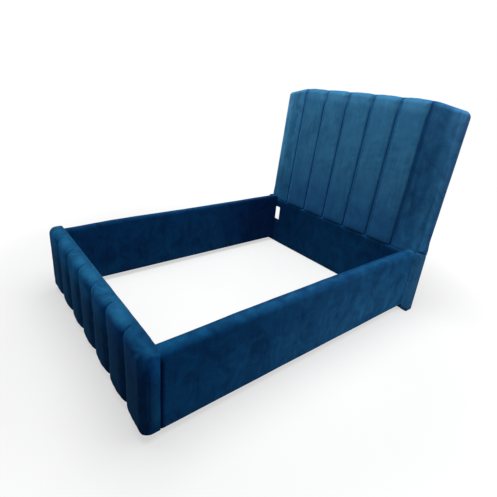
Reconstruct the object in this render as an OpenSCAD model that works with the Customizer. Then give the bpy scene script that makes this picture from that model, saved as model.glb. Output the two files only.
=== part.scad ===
// Upholstered double bed frame: channelled headboard, channelled footboard and two padded side rails.
// X runs across the bed, Y from the footboard to the headboard, Z up from the floor, in millimetres.

/* [Overall] */
// Clear width between the two side rails
inner_w = 1410; // [1250:5:1900]
// Clear length from the footboard to the headboard
inner_l = 2035; // [1900:5:2150]

/* [Side rails] */
// Thickness of a padded side rail at its crown
rail_t = 82; // [74:1:110]
// Height of the top of the side rails
rail_top = 484; // [455:1:520]
// Height of the underside of the side rails
rail_bottom = 38; // [24:1:60]
// Thickness of the timber board inside a side rail
rail_board_t = 40; // [38:1:50]
// Padding above and below the timber board of a side rail
rail_pad_z = 18; // [12:1:30]
// How far the padded faces of a side rail swell at mid height
rail_crown = 3; // [0:0.5:6]
// Radius of the rolled outer top edge of a side rail
rail_top_r = 32; // [14:1:34]
// Radius of the inner top edge of a side rail
rail_inner_r = 16; // [8:1:24]
// Radius of the lower edges of a side rail
rail_low_r = 10; // [4:1:16]
// Radius where the outer padded face of a rail turns in at its foot end
rail_end_r = 20; // [4:1:24]

/* [Footboard] */
// Height of the top of the footboard at the crest of its channels
foot_top = 497; // [470:1:540]
// Height of the underside of the footboard
foot_bottom = 48; // [40:1:70]
// Thickness of the timber core of the footboard
foot_core_t = 46; // [36:1:60]
// Thickness of the padding on the inner face of the footboard
foot_inner_pad = 14.5; // [10:0.5:20]
// Thickness of the footboard padding at the bottom of its grooves
foot_pad = 8; // [5:1:20]
// How far each footboard channel stands out from its grooves
foot_lobe = 16; // [6:1:26]
// Number of padded channels on the footboard
foot_channels = 7; // [5:1:11]
// How far the footboard ends stand past the outer faces of the rails
foot_over = 3; // [0:1:12]
// Radius of the rounded upright ends of the footboard
foot_end_r = 40; // [24:1:44]
// Diameter of the base of a footboard foot
foot_dia = 60; // [46:1:64]
// Diameter of the stem of a footboard foot
foot_stem = 38; // [26:1:42]
// Distance of a footboard foot from the end of the footboard
foot_inset = 73; // [50:1:150]

/* [Headboard] */
// Height of the top of the headboard
head_top = 1526; // [1200:1:1700]
// Height where the channels end and the headboard begins to lean back
head_break = 458; // [440:1:500]
// Backward lean of the upper headboard in degrees
head_lean = 3.9; // [0:0.1:8]
// Thickness of the headboard from the plain lower face to the back
head_t = 78; // [74:1:110]
// Width of a wing, from its groove to its outer side
wing_w = 251; // [220:1:300]
// Number of equal channels between the two wings
head_channels = 5; // [3:1:7]
// How far each headboard channel stands out from its grooves
head_lobe = 14; // [6:1:24]
// Depth of the headboard grooves behind the plain lower face
groove_back = 4; // [0:1:10]
// How far the top outer corner of a wing drops below the middle
wing_drop = 52; // [0:1:120]
// How far a wing turns back by the start of its rounded outer edge
wing_back = 30; // [10:1:34]
// Radius of the rounded outer edge of a wing
wing_r = 42; // [36:1:44]
// Radius of the rounded top outer corner of a wing
wing_corner_r = 22; // [6:1:24]
// Radius of the roll under the lower ends of the channels and wings
curl_r = 22; // [10:1:26]
// How far the legs stand past the outer faces of the side rails
leg_over = 48; // [44:1:90]
// How far a wing's outer side is set in from the leg cover
wing_in = 8; // [2:1:20]
// Width of a timber leg
leg_w = 40; // [30:1:60]
// Padding on the outer side of a leg
leg_pad = 10; // [6:1:16]
// Padding on the front and the back of a leg
leg_skin = 6; // [4:1:8]
// Height of the padded leg covers
leg_top = 478; // [474:1:520]
// Radius of the rounded shoulder at the top of a leg cover
shoulder_r = 12; // [8:1:18]
// Thickness of the glides under the legs
glide_h = 3; // [2:0.5:8]
// Depth of the shaped top rail and the cross rails
cross_h = 68; // [50:1:90]
// Width of the studs between the cross rails
stud_w = 40; // [30:1:60]
// Height of the bottom rail's lower edge
cross_z = 60; // [40:1:90]
// How far the boards stop short of the padded top edge
core_drop = 24; // [18:1:30]
// Width of a headboard stile
stile_w = 40; // [30:1:60]
// Thickness of the headboard boards
ply_t = 9; // [6:1:12]
// Thickness of the foam between the plain lower face and its board
head_foam = 37; // [34:1:44]
// Thickness of the back cover
back_t = 3; // [2:0.5:5]

/* [Rail windows] */
// Width of the open window left between the panel and the leg
window_w = 127; // [90:1:150]
// Height of the bottom of a window
window_bottom = 212; // [207:1:260]
// Height of the top of a window
window_top = 376; // [300:1:390]

/* [Rail fittings] */
// Height of a hook plate or slotted plate
plate_h = 130; // [100:1:140]
// Width of a hook plate or slotted plate
plate_w = 34; // [28:1:36]
// Thickness of the steel plates and hooks
plate_t = 3; // [2:0.5:4]
// Height of the lower end of the plates
plate_z = 68; // [60:1:75]
// How far a hook reaches into the slotted plate's pocket
hook_reach = 12; // [8:1:14]
// Diameter of the plate screws
screw_d = 4; // [3:0.5:5]
// Length of the plate screws
screw_l = 32; // [20:1:40]
// Diameter of the leg bolts
bolt_d = 8; // [6:1:10]

/* [Fits] */
// Clearance between neighbouring pieces
fit = 0.3; // [0.2:0.05:0.5]
// Diametral clearance around bolts
bolt_fit = 0.6; // [0.4:0.1:1]

/* [Hidden] */
$fn = 64;
head_r = 26;
head_back_r = 14;
hw = inner_w / 2;
hl = inner_l / 2;
rail_x = hw + rail_t / 2;
rail_out = hw + rail_t;
rail_h = rail_top - rail_bottom;
board_z0 = rail_bottom + rail_pad_z;
board_z1 = rail_top - rail_pad_z;
leg_out = rail_out + leg_over;
leg_x1 = leg_out - leg_pad;
leg_x0 = leg_x1 - leg_w;
stile_x1 = leg_x0;
stile_x0 = stile_x1 - stile_w;
win_x1 = leg_x0;
win_x0 = win_x1 - window_w;
frame_t0 = head_foam + ply_t;
frame_t1 = head_t - back_t;
wing_out = leg_out - wing_in;
wing_x0 = wing_out - wing_w;
channel_pitch = 2 * wing_x0 / head_channels;
wing_arc_x = wing_out - wing_r;
up_h = (head_top - head_break) / cos(head_lean);
outer_bot = (leg_top - head_break + head_t * sin(head_lean)) / cos(head_lean) + 2;
low_top = head_break - head_t * sin(head_lean) - 0.7;
foot_half = rail_out + foot_over;
foot_core_x = foot_half - foot_end_r / 2;
foot_y1 = -hl - foot_inner_pad;
foot_y0 = foot_y1 - foot_core_t;
foot_core_z0 = foot_bottom + 12;
foot_core_z1 = foot_top - 28;
y_low = foot_y0 - foot_pad - foot_lobe;
y_high = hl + head_t * cos(head_lean) + (up_h - head_back_r) * sin(head_lean);
y_mid = (y_low + y_high) / 2;
foot_pitch = 2 * foot_half / foot_channels;
block_x0 = hw + fit + 3;
block_z0 = rail_bottom + 7;
block_z1 = window_bottom - 5;
mid_z0 = window_top + 13;
stud_z0 = cross_z + cross_h;
top_z0 = up_h - wing_drop - core_drop - cross_h;
curl_z = 60;
pocket_h = 34;
end_cap = foot_end_r / 2;
end_fall = 0.6;
hook_z = [plate_z + 0.25 * plate_h, plate_z + 0.72 * plate_h];
screw_z = [plate_z + 10, plate_z + plate_h - 10];
bolt_z = [mid_z0 + 17, leg_top - 32];
bolt_sink = 7.5;
bolt_y = hl + (frame_t0 + head_t - leg_skin) / 2;

steel = [0.72, 0.73, 0.75];
timber = [0.78, 0.64, 0.45];
plywood = [0.83, 0.70, 0.50];
velvet = [0.07, 0.24, 0.40];
lining = [0.10, 0.10, 0.12];
dark = [0.06, 0.06, 0.07];

// Points on an arc from angle a to angle b
function arc(cx, cy, r, a, b, n) = [for (i = [0 : n]) let(t = a + (b - a) * i / n)
  [cx + r * cos(t), cy + r * sin(t)]];

// Points along a straight side, without its ends
function side(p, q, n) = [for (i = [1 : n - 1]) p + (q - p) * i / n];

// Swell across one channel: nothing at its grooves and full in the middle
function swell(t) = pow(1 - pow(abs(2 * t - 1), 2.6), 0.62);

// How far an edge falls away along an arc of radius r, at a distance d past the arc's start
function fall(d, r) = d > 0 ? r - sqrt(max(0, r * r - d * d)) : 0;

// Height of the upper headboard above the break, at a distance from the middle
function crest(x) = up_h - wing_drop * max(0, (abs(x) - wing_x0) / (wing_out - wing_x0))
  - fall(abs(x) - wing_out + wing_corner_r, wing_corner_r);

// Corner of a loop from which its whole inside can be seen: the inner corner of an L, else the first
function hub(l) = let(m = len(l)) l[m - 2][1] < l[m - 3][1] - 0.01 ? m - 2 : 0;

// A closed solid skinned over equal loops of points, its ends closed as fans from their hubs
module skin(loops) {
  n = len(loops);
  m = len(loops[0]);
  c = hub(loops[0]);
  d = hub(loops[n - 1]);
  e = (n - 1) * m;
  polyhedron(points = [for (l = loops) for (p = l) p], faces = concat(
    [for (k = [1 : m - 2]) [c, (c + k) % m, (c + k + 1) % m]],
    [for (k = [1 : m - 2]) [e + d, e + (d + k + 1) % m, e + (d + k) % m]],
    [for (i = [0 : n - 2]) for (j = [0 : m - 1])
      let(a = i * m + j, b = i * m + (j + 1) % m) [b, a, a + m]],
    [for (i = [0 : n - 2]) for (j = [0 : m - 1])
      let(a = i * m + j, b = i * m + (j + 1) % m) [b, a + m, b + m]]));
}

// A bar along X or Z drawn from its low and high corners
module bar(a, b) {
  translate([min(a[0], b[0]), a[1], a[2]])
    cube([abs(b[0] - a[0]), b[1] - a[1], b[2] - a[2]]);
}

// Places a child in the leaning frame of the upper headboard
module leaning() {
  translate([0, hl, head_break]) rotate([-head_lean, 0, 0]) children();
}

// Brings the whole bed to its origin, the middle of its footprint on the floor
module place() {
  translate([0, -y_mid, 0]) children();
}

// Places a child on both sides of the bed
module both() {
  children();
  mirror([1, 0, 0]) children();
}

module leg() {
  color(timber) difference() {
    bar([leg_x0, hl + leg_skin, glide_h], [leg_x1, hl + head_t - leg_skin, leg_top - 10]);
    bolt_bores();
  }
}

module stile() {
  slope = tan(head_lean);
  top = crest(stile_x1) - core_drop - 4;
  color(timber) difference() {
    union() {
      bar([stile_x0, hl + frame_t0 + fit, mid_z0], [stile_x1, hl + frame_t1 - fit, head_break]);
      leaning() translate([0, 0, -frame_t0 * slope])
        bar([stile_x0, frame_t0 + fit, -2], [stile_x1, frame_t1 - fit, top]);
    }
    bolt_bores();
  }
}

module bolt_bores() {
  for (z = bolt_z) translate([stile_x0 - 1, bolt_y, z]) rotate([0, 90, 0]) {
    cylinder(d = bolt_d + bolt_fit, h = stile_w + leg_w + 2);
    cylinder(d = 20, h = bolt_sink + 1);
    translate([0, 0, stile_w + leg_w + 1 - bolt_sink]) cylinder(d = 22, h = 20);
  }
}

module leg_bolt() {
  for (z = bolt_z) translate([0, bolt_y, z]) rotate([0, 90, 0]) color(steel) {
    translate([0, 0, stile_x0 + 0.5]) cylinder(d = bolt_d, h = leg_x1 - bolt_sink - stile_x0);
    translate([0, 0, leg_x1 - bolt_sink]) cylinder(d = 18, h = 5);
  }
}

module leg_nut() {
  for (z = bolt_z) translate([0, bolt_y, z]) rotate([0, 90, 0]) color(steel)
    translate([0, 0, stile_x0 + bolt_sink - 6]) difference() {
      cylinder(d = 15, h = 6, $fn = 6);
      translate([0, 0, -1]) cylinder(d = bolt_d + 0.2, h = 9);
    }
}

module top_rail() {
  x = stile_x0 - fit;
  color(timber) leaning() translate([0, frame_t1 - fit, 0]) rotate([90, 0, 0])
    linear_extrude(frame_t1 - frame_t0 - 2 * fit) polygon([
      [-x, top_z0], [x, top_z0], [x, crest(x) - core_drop - 4], [wing_x0, up_h - core_drop - 4],
      [-wing_x0, up_h - core_drop - 4], [-x, crest(x) - core_drop - 4]]);
}

module middle_rail() {
  color(timber) bar([-stile_x0 + fit, hl + frame_t0 + fit, mid_z0],
    [stile_x0 - fit, hl + frame_t1 - fit, low_top]);
}

module bottom_rail() {
  color(timber) bar([-leg_x0 + fit, hl + frame_t0 + fit, cross_z],
    [leg_x0 - fit, hl + frame_t1 - fit, stud_z0]);
}

module upper_studs() {
  for (x = [-channel_pitch, channel_pitch]) color(timber) leaning()
    bar([x - stud_w / 2, frame_t0 + fit, fit], [x + stud_w / 2, frame_t1 - fit, top_z0 - fit]);
}

module lower_studs() {
  edge = win_x0 - 5 - stud_w / 2;
  for (x = [-edge, 0, edge]) color(timber)
    bar([x - stud_w / 2, hl + frame_t0 + fit, stud_z0 + fit],
      [x + stud_w / 2, hl + frame_t1 - fit, mid_z0 - fit]);
}

// Outline of the upper boards, seen from the front
module upper_outline(x, top_in) {
  polygon([[-x, 0.5], [x, 0.5], [x, crest(x) - top_in], [wing_x0, up_h - top_in],
    [-wing_x0, up_h - top_in], [-x, crest(x) - top_in]]);
}

module upper_board() {
  color(plywood) leaning() translate([0, frame_t0, 0]) rotate([90, 0, 0])
    linear_extrude(ply_t - fit) upper_outline(stile_x1, core_drop);
}

module windows() {
  both() bar([win_x0, hl - 5, window_bottom], [win_x1 + 1, hl + head_t + 5, window_top]);
}

module block_notches(gap) {
  both() bar([block_x0 - gap, hl - 5, block_z0 - gap], [leg_x0 + 1, hl + frame_t0, block_z1 + gap]);
}

module lower_board() {
  color(plywood) difference() {
    bar([-leg_x0 + fit, hl + head_foam + fit, 12], [leg_x0 - fit, hl + frame_t0, low_top]);
    windows();
    block_notches(fit);
  }
}

module hook_pockets(depth) {
  for (z = hook_z) translate([rail_x - 4, 0, z - 14]) cube([8, depth, pocket_h]);
}

module screw_bores(depth) {
  for (z = screw_z) translate([rail_x, 0, z]) rotate([-90, 0, 0])
    cylinder(d = screw_d + 0.2, h = depth, $fn = 32);
}

module plate_recess() {
  translate([rail_x - plate_w / 2 - fit, -5, plate_z - fit])
    cube([plate_w + 2 * fit, 5 + plate_t + fit, plate_h + 2 * fit]);
}

module rail_block() {
  color(timber) difference() {
    bar([block_x0, hl + fit, block_z0], [leg_x0 - fit, hl + frame_t0 - fit, block_z1]);
    translate([0, hl + fit, 0]) {
      plate_recess();
      hook_pockets(plate_t + hook_reach + 3);
      screw_bores(screw_l + 4);
    }
  }
}

module glide() {
  translate([(leg_x0 + leg_x1) / 2, hl + head_t / 2, 0]) color(dark) cylinder(d = 30, h = glide_h - 0.01);
}

// One upright slice of the upper padding at a distance x from the middle
function slice(x, front, back, bot, top, core_top, solid = false) =
  let(rf = min(head_r, (head_t - front) * 0.55), rb = min(head_back_r, (head_t - front) * 0.3),
    rl = min(curl_r, back - front - 1))
  [for (p = concat(
    arc(front + rl, bot + rl, rl, 270, 180, 3),
    [[front, bot + curl_z], [front, (bot + top) / 2]],
    arc(front + rf, top - rf, rf, 180, 90, 5),
    arc(head_t - rb, top - rb, rb, 90, 0, 3),
    [[head_t, core_top], solid ? [head_t, (bot + core_top) / 2] : [back, core_top], [back, bot]]))
    [x, p[0], p[1]]];

module channel(i) {
  x0 = -wing_x0 + (i - 1) * channel_pitch + fit;
  w = channel_pitch - 2 * fit;
  n = 10;
  color(velvet) leaning() skin([for (k = [0 : n])
    let(t = (1 - cos(180 * k / n)) / 2, x = x0 + w * t)
    slice(x, groove_back - head_lobe * swell(t), head_foam - fit, 0.5,
      up_h - 6 + 6 * swell(t), up_h - core_drop + fit)]);
}

// Front of a wing at a distance x from the middle, before its outer turn
function wing_front(x) =
  let(t = (x - wing_x0) / (wing_arc_x - wing_x0))
  t < 1 ? groove_back + (wing_back - groove_back) * t - (head_lobe - 4) * swell(min(1, t * 0.5 + 0.0001))
    * (1 - pow(t, 3))
  : wing_back + fall(x - wing_arc_x, wing_r);

module wing() {
  edge = stile_x1 + fit;
  inner = concat([for (k = [0 : 9]) wing_x0 + fit + (wing_arc_x - wing_x0 - fit) * (1 - cos(10 * k))],
    [wing_arc_x, stile_x1]);
  outer = [for (k = [0 : 6]) edge + (wing_out - edge) * sin(15 * k)];
  color(velvet) leaning() skin(concat(
    [for (x = inner) slice(x, wing_front(x), head_foam - fit, 0.5, crest(x) - 6 + 6 *
      swell(min(0.5, 0.02 + (x - wing_x0) / 120)), crest(x) - core_drop + fit)],
    [for (x = outer) slice(x, min(wing_front(x), head_t - 8), head_t, outer_bot,
      crest(x), crest(x) - core_drop + fit, true)]));
}

module lower_pad() {
  z0 = glide_h;
  h = low_top - z0;
  pts = concat(arc(12, 12, 12, 270, 180, 4), side([0, 12], [0, h - 12], 10),
    arc(12, h - 12, 12, 180, 90, 4), [[head_foam, h], [head_foam, 0]]);
  color(velvet) difference() {
    translate([-leg_x0 + fit, hl, z0]) rotate([90, 0, 90]) linear_extrude(2 * (leg_x0 - fit))
      polygon([for (p = pts) [p[0] + (p[0] > head_foam - 1 ? 0 : rail_crown * pow(2 * p[1] / h - 1, 2)), p[1]]]);
    windows();
    block_notches(fit);
  }
}

module leg_cover() {
  r = 9;
  color(velvet) difference() {
    intersection() {
      translate([0, hl, glide_h]) linear_extrude(leg_top - glide_h) polygon(concat(
        [[leg_x0 + fit, head_t], [leg_x0 + fit, 0]],
        arc(leg_out - r, r, r, 270, 360, 6),
        arc(leg_out - r, head_t - r, r, 0, 90, 6)));
      translate([0, hl + head_t + 1, 0]) rotate([90, 0, 0]) linear_extrude(head_t + 2)
        polygon(concat([[leg_x0, leg_top], [leg_x0, 0], [leg_out + 1, 0], [leg_out + 1, leg_top - shoulder_r],
          [leg_out, leg_top - shoulder_r]], arc(leg_out - shoulder_r, leg_top - shoulder_r, shoulder_r, 0, 90, 6)));
    }
    bar([leg_x0 - 1, hl + leg_skin - fit, 0],
      [leg_x1 + fit, hl + head_t - leg_skin + fit, leg_top - 10 + fit]);
  }
}

module upper_back() {
  color(lining) leaning() translate([0, head_t, 0]) rotate([90, 0, 0])
    linear_extrude(back_t) upper_outline(stile_x1, core_drop);
}

module lower_back() {
  y0 = hl + frame_t1;
  y1 = hl + head_t;
  color(lining) {
    bar([-win_x0 + fit, y0, glide_h], [win_x0 - fit, y1, low_top]);
    both() for (z = [[glide_h, window_bottom], [window_top, low_top]])
      bar([win_x0, y0, z[0]], [leg_x0 - fit, y1, z[1]]);
  }
}

module footboard_core() {
  color(timber) difference() {
    translate([-foot_core_x, foot_y0, foot_core_z0])
      cube([2 * foot_core_x, foot_core_t, foot_core_z1 - foot_core_z0]);
    both() mirror([0, 1, 0]) translate([0, hl + fit, 0]) {
      hook_pockets(plate_t + hook_reach + 3);
      screw_bores(screw_l + 4);
    }
  }
}

// One upright slice of a footboard channel
function foot_slice(x, out, top, back, core_top, solid) =
  let(face = foot_y0 - foot_pad - out, r = 30, rb = foot_pad - 1, ri = 9, yi = -hl)
  [for (p = concat(
    arc(face + rb, foot_bottom + rb, rb, 270, 180, 3),
    [[face, foot_bottom + curl_z], [face, (foot_bottom + top) / 2]],
    arc(face + r, top - r, r, 180, 90, 6),
    arc(yi - ri, top - ri, ri, 90, 0, 3),
    [[yi, core_top], solid ? [yi, (foot_bottom + core_top) / 2] : [back, core_top],
      [back, foot_bottom]])) [x, p[0], p[1]]];

// Swell of a footboard channel that stays full towards a closed end of the board
function foot_swell(t, open_low, open_high) =
  t < 0.5 ? (open_low ? swell(t) : 1) : (open_high ? swell(t) : 1);

// How far the rounded ends of the footboard draw in at x
function end_draw(x) = fall(abs(x) - foot_half + foot_end_r, foot_end_r);

module foot_channel(i) {
  x0 = -foot_half + (i - 1) * foot_pitch + (i > 1 ? fit : 0);
  x1 = -foot_half + i * foot_pitch - (i < foot_channels ? fit : 0);
  low = i > 1;
  high = i < foot_channels;
  n = 10;
  base = [for (k = [0 : n]) x0 + (x1 - x0) * (1 - cos(180 * k / n)) / 2];
  lowx = low ? base : concat([for (k = [0 : 4]) x0 + end_cap * (1 - cos(22.5 * k)) - (k == 4 ? fit : 0)],
    [x0 + end_cap + fit], [for (x = base) if (x > x0 + end_cap + 5) x]);
  xs = high ? lowx : concat([for (x = lowx) if (x < x1 - end_cap - 5) x], [x1 - end_cap - fit],
    [for (k = [4 : -1 : 0]) x1 - end_cap * (1 - cos(22.5 * k)) + (k == 4 ? fit : 0)]);
  color(velvet) skin([for (x = xs)
    let(t = (x - x0) / (x1 - x0), s = foot_swell(t, low, high), solid = abs(x) > foot_core_x)
    foot_slice(x, foot_lobe * s - end_draw(x), foot_top - 8 + 8 * s - end_draw(x) * end_fall,
      solid ? -hl : foot_y0 - fit,
      solid ? foot_core_z1 - 6 - end_draw(x) * end_fall : foot_core_z1 + fit, solid)]);
}

module inner_pad() {
  color(velvet) difference() {
    bar([-foot_core_x, foot_y1 + fit, foot_bottom], [foot_core_x, -hl, foot_core_z1]);
    both() bar([block_x0 - fit, foot_y1 - 1, block_z0 + 4.5], [foot_core_x + 1, -hl + 1, block_z1 + fit]);
  }
}

module packer() {
  color(timber) difference() {
    bar([block_x0, foot_y1 + fit, block_z0 + 5], [foot_core_x, -hl - fit, block_z1]);
    mirror([0, 1, 0]) translate([0, hl + fit, 0]) {
      plate_recess();
      hook_pockets(plate_t + hook_reach + 3);
      screw_bores(screw_l + 4);
    }
  }
}

module foot() {
  base_h = 8;
  slope_h = (foot_dia - foot_stem) / 3;
  translate([foot_half - foot_inset, foot_y0 + foot_core_t / 2, 0]) color(dark) rotate_extrude()
    polygon([[0, 0], [foot_dia / 2 - 1, 0], [foot_dia / 2, 1], [foot_dia / 2, base_h],
      [foot_stem / 2, base_h + slope_h], [foot_stem / 2, foot_core_z0 - fit], [0, foot_core_z0 - fit]]);
}

// Section of a padded rail, centred across its thickness
function rail_section() =
  let(w = (rail_t - 2 * rail_crown) / 2, h = rail_h, a = rail_low_r, b = rail_top_r,
    c = rail_inner_r)
  [for (p = concat(
    arc(w - a, a, a, 270, 360, 3), side([w, a], [w, h - b], 8),
    arc(w - b, h - b, b, 0, 90, 7), arc(-w + c, h - c, c, 90, 180, 7),
    side([-w, h - c], [-w, a], 8), arc(-w + a, a, a, 180, 270, 3)))
    [p[0] * (1 + rail_crown * (1 - pow(2 * p[1] / h - 1, 2)) / w), p[1]]];

module rail_cover() {
  l = hl - fit;
  r = rail_end_r;
  color(velvet) difference() {
    intersection() {
      translate([rail_x, l, rail_bottom]) rotate([90, 0, 0]) linear_extrude(2 * l)
        polygon(rail_section());
      translate([0, 0, rail_bottom - 1]) linear_extrude(rail_h + 2) polygon(concat(
        [[hw - 1, l], [hw - 1, -l]], arc(rail_out - r, -l + r, r, 270, 360, 5), [[rail_out + 1, -l + r],
        [rail_out + 1, l]]));
    }
    bar([rail_x - rail_board_t / 2 - fit, -hl - 1, board_z0 - fit],
      [rail_x + rail_board_t / 2 + fit, hl + 1, board_z1 + fit]);
  }
}

module rail_board() {
  color(timber) difference() {
    bar([rail_x - rail_board_t / 2, -hl + fit, board_z0], [rail_x + rail_board_t / 2, hl - fit, board_z1]);
    for (m = [0, 1]) mirror([0, m, 0]) translate([0, hl - fit, 0]) mirror([0, 1, 0]) {
      plate_recess();
      screw_bores(screw_l + 4);
    }
  }
}

module screw_holes() {
  for (z = screw_z) translate([rail_x, 0, z]) rotate([-90, 0, 0]) {
    translate([0, 0, -1]) cylinder(d = screw_d + 0.4, h = plate_t + 2, $fn = 32);
    translate([0, 0, -0.01]) cylinder(d1 = 2 * screw_d + 0.4, d2 = screw_d + 0.4, h = 2.2, $fn = 32);
  }
}

module plate_blank() {
  difference() {
    translate([rail_x - plate_w / 2, 0, plate_z]) cube([plate_w, plate_t, plate_h]);
    screw_holes();
  }
}

// Hook plate on the end of a rail, with its hooks pointing out of the rail
module hook_plate() {
  color(steel) translate([0, hl - fit, 0]) {
    mirror([0, 1, 0]) plate_blank();
    for (z = hook_z) translate([rail_x - plate_t / 2, 0, z]) rotate([90, 0, 90])
      linear_extrude(plate_t) polygon([[-0.5, 0], [-0.5, 16], [hook_reach + plate_t, 12],
        [hook_reach + plate_t, -8], [plate_t + 2 * fit + 1, -8], [plate_t + 2 * fit + 1, 0]]);
  }
}

module slotted_plate() {
  color(steel) translate([0, hl + fit, 0]) difference() {
    plate_blank();
    for (z = hook_z) translate([rail_x - plate_t / 2 - 0.5, -1, z - 12])
      cube([plate_t + 1, plate_t + 2, 30]);
  }
}

module screw() {
  for (z = screw_z) translate([rail_x, 0, z]) rotate([-90, 0, 0]) color(steel) {
    cylinder(d1 = 2 * screw_d, d2 = screw_d, h = 2.1, $fn = 32);
    cylinder(d = screw_d, h = screw_l, $fn = 32);
  }
}

module ends() {
  both() for (m = [0, 1]) mirror([0, m, 0]) children();
}

module plate_screws() {
  ends() translate([0, hl + fit, 0]) screw();
  ends() translate([0, hl - fit, 0]) mirror([0, 1, 0]) screw();
}

place() mirror([1, 0, 0]) leg();  // headboard_left_leg
place() leg();  // headboard_right_leg
place() mirror([1, 0, 0]) stile();  // headboard_left_stile
place() stile();  // headboard_right_stile
place() top_rail();  // headboard_top_rail
place() middle_rail();  // headboard_middle_rail
place() bottom_rail();  // headboard_bottom_rail
place() upper_studs();  // headboard_upper_studs
place() lower_studs();  // headboard_lower_studs
place() upper_board();  // headboard_upper_board
place() lower_board();  // headboard_lower_board
place() both() rail_block();  // headboard_rail_blocks
place() channel(1);  // headboard_channel_1
place() channel(2);  // headboard_channel_2
place() channel(3);  // headboard_channel_3
place() channel(4);  // headboard_channel_4
place() channel(5);  // headboard_channel_5
place() mirror([1, 0, 0]) wing();  // headboard_left_wing
place() wing();  // headboard_right_wing
place() lower_pad();  // headboard_lower_pad
place() mirror([1, 0, 0]) leg_cover();  // headboard_left_leg_cover
place() leg_cover();  // headboard_right_leg_cover
place() upper_back();  // headboard_upper_back
place() lower_back();  // headboard_lower_back
place() both() glide();  // headboard_glides
place() both() leg_bolt();  // headboard_leg_bolts
place() both() leg_nut();  // headboard_leg_nuts
place() footboard_core();
place() foot_channel(1);  // footboard_channel_1
place() foot_channel(2);  // footboard_channel_2
place() foot_channel(3);  // footboard_channel_3
place() foot_channel(4);  // footboard_channel_4
place() foot_channel(5);  // footboard_channel_5
place() foot_channel(6);  // footboard_channel_6
place() foot_channel(7);  // footboard_channel_7
place() inner_pad();  // footboard_inner_pad
place() both() packer();  // footboard_rail_packers
place() both() foot();  // footboard_feet
place() mirror([1, 0, 0]) rail_board();  // left_rail_board
place() rail_board();  // right_rail_board
place() mirror([1, 0, 0]) rail_cover();  // left_rail_cover
place() rail_cover();  // right_rail_cover
place() ends() hook_plate();  // rail_hook_plates
place() ends() slotted_plate();  // slotted_plates
place() plate_screws();
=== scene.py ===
import math

import bmesh
import bpy
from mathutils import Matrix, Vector, noise


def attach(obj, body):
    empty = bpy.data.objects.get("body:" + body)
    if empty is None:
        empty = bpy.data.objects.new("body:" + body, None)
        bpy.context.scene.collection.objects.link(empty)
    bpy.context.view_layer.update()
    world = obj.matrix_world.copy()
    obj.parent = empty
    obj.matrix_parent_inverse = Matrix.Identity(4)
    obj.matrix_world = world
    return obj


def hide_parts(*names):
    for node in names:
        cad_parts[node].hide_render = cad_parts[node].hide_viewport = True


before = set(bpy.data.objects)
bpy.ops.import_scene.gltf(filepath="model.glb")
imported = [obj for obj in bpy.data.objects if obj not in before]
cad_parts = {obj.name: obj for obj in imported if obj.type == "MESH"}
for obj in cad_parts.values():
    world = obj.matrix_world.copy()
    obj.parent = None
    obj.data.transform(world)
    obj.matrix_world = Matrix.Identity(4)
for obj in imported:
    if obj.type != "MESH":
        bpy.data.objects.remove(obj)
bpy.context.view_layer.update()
BODY = "root"

# Sizes of the bed in millimetres, as in the part's source
HW = 705.0
HL = 1017.5
RAIL_T = 82.0
RAIL_OUT = HW + RAIL_T
RAIL_X = HW + RAIL_T / 2
RAIL_TOP = 484.0
RAIL_BOTTOM = 38.0
RAIL_BOARD_T = 40.0
RAIL_PAD_Z = 18.0
RAIL_CROWN = 3.0
RAIL_TOP_R = 32.0
RAIL_INNER_R = 16.0
RAIL_LOW_R = 10.0
RAIL_END_R = 20.0
FOOT_TOP = 497.0
FOOT_BOTTOM = 48.0
FOOT_PAD = 8.0
FOOT_LOBE = 16.0
FOOT_CHANNELS = 7
FOOT_HALF = RAIL_OUT + 3.0
FOOT_END_R = 40.0
FOOT_Y1 = -HL - 14.5
FOOT_Y0 = FOOT_Y1 - 46.0
FOOT_CORE_X = FOOT_HALF - FOOT_END_R / 2
END_FALL = 0.6
FOOT_CORE_Z1 = FOOT_TOP - 28.0
HEAD_TOP = 1526.0
HEAD_BREAK = 458.0
LEAN = math.radians(3.9)
HEAD_T = 78.0
HEAD_FOAM = 37.0
HEAD_LOBE = 14.0
HEAD_CHANNELS = 5
GROOVE_BACK = 4.0
LEG_OUT = RAIL_OUT + 48.0
LEG_X0 = LEG_OUT - 50.0
LEG_TOP = 478.0
LEG_SKIN = 6.0
LEG_PAD = 10.0
WING_OUT = LEG_OUT - 8.0
WING_X0 = WING_OUT - 251.0
WING_DROP = 52.0
WING_BACK = 30.0
WING_R = 42.0
WING_ARC_X = WING_OUT - WING_R
WING_CORNER_R = 34.0
WING_FLARE = 6.0
LEG_SHOULDER_R = 29.0
CURL_R = 8.0
HEAD_CROWN = 5.0
PITCH = 2 * WING_X0 / HEAD_CHANNELS
FOOT_PITCH = 2 * FOOT_HALF / FOOT_CHANNELS
CORE_DROP = 24.0
WIN_X0 = LEG_X0 - 127.0
WIN_Z0 = 212.0
WIN_Z1 = 376.0
BACK_T = 3.0
FIT = 0.3
UP_H = (HEAD_TOP - HEAD_BREAK) / math.cos(LEAN)
Y_LOW = FOOT_Y0 - FOOT_PAD - FOOT_LOBE
Y_HIGH = HL + HEAD_T * math.cos(LEAN) + (UP_H - 14.0) * math.sin(LEAN)
Y_MID = (Y_LOW + Y_HIGH) / 2
LOW_TOP = HEAD_BREAK - HEAD_T * math.sin(LEAN) - 0.7
OUTER_BOT = (LEG_TOP - HEAD_BREAK + HEAD_T * math.sin(LEAN)) / math.cos(LEAN) + 2
GLIDE_H = 3.0
PAD_CROWN = 0.8
PAD_TOP_R = 3.0
PLATE_PARTS = (0.06, 0.5, 0.94)
PLATE_STEP = 17
BLOCK_X0 = HW + FIT + 3
BLOCK_Z0 = RAIL_BOTTOM + 7
BLOCK_Z1 = WIN_Z0 - 5


# Small helpers for points and outlines

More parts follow.
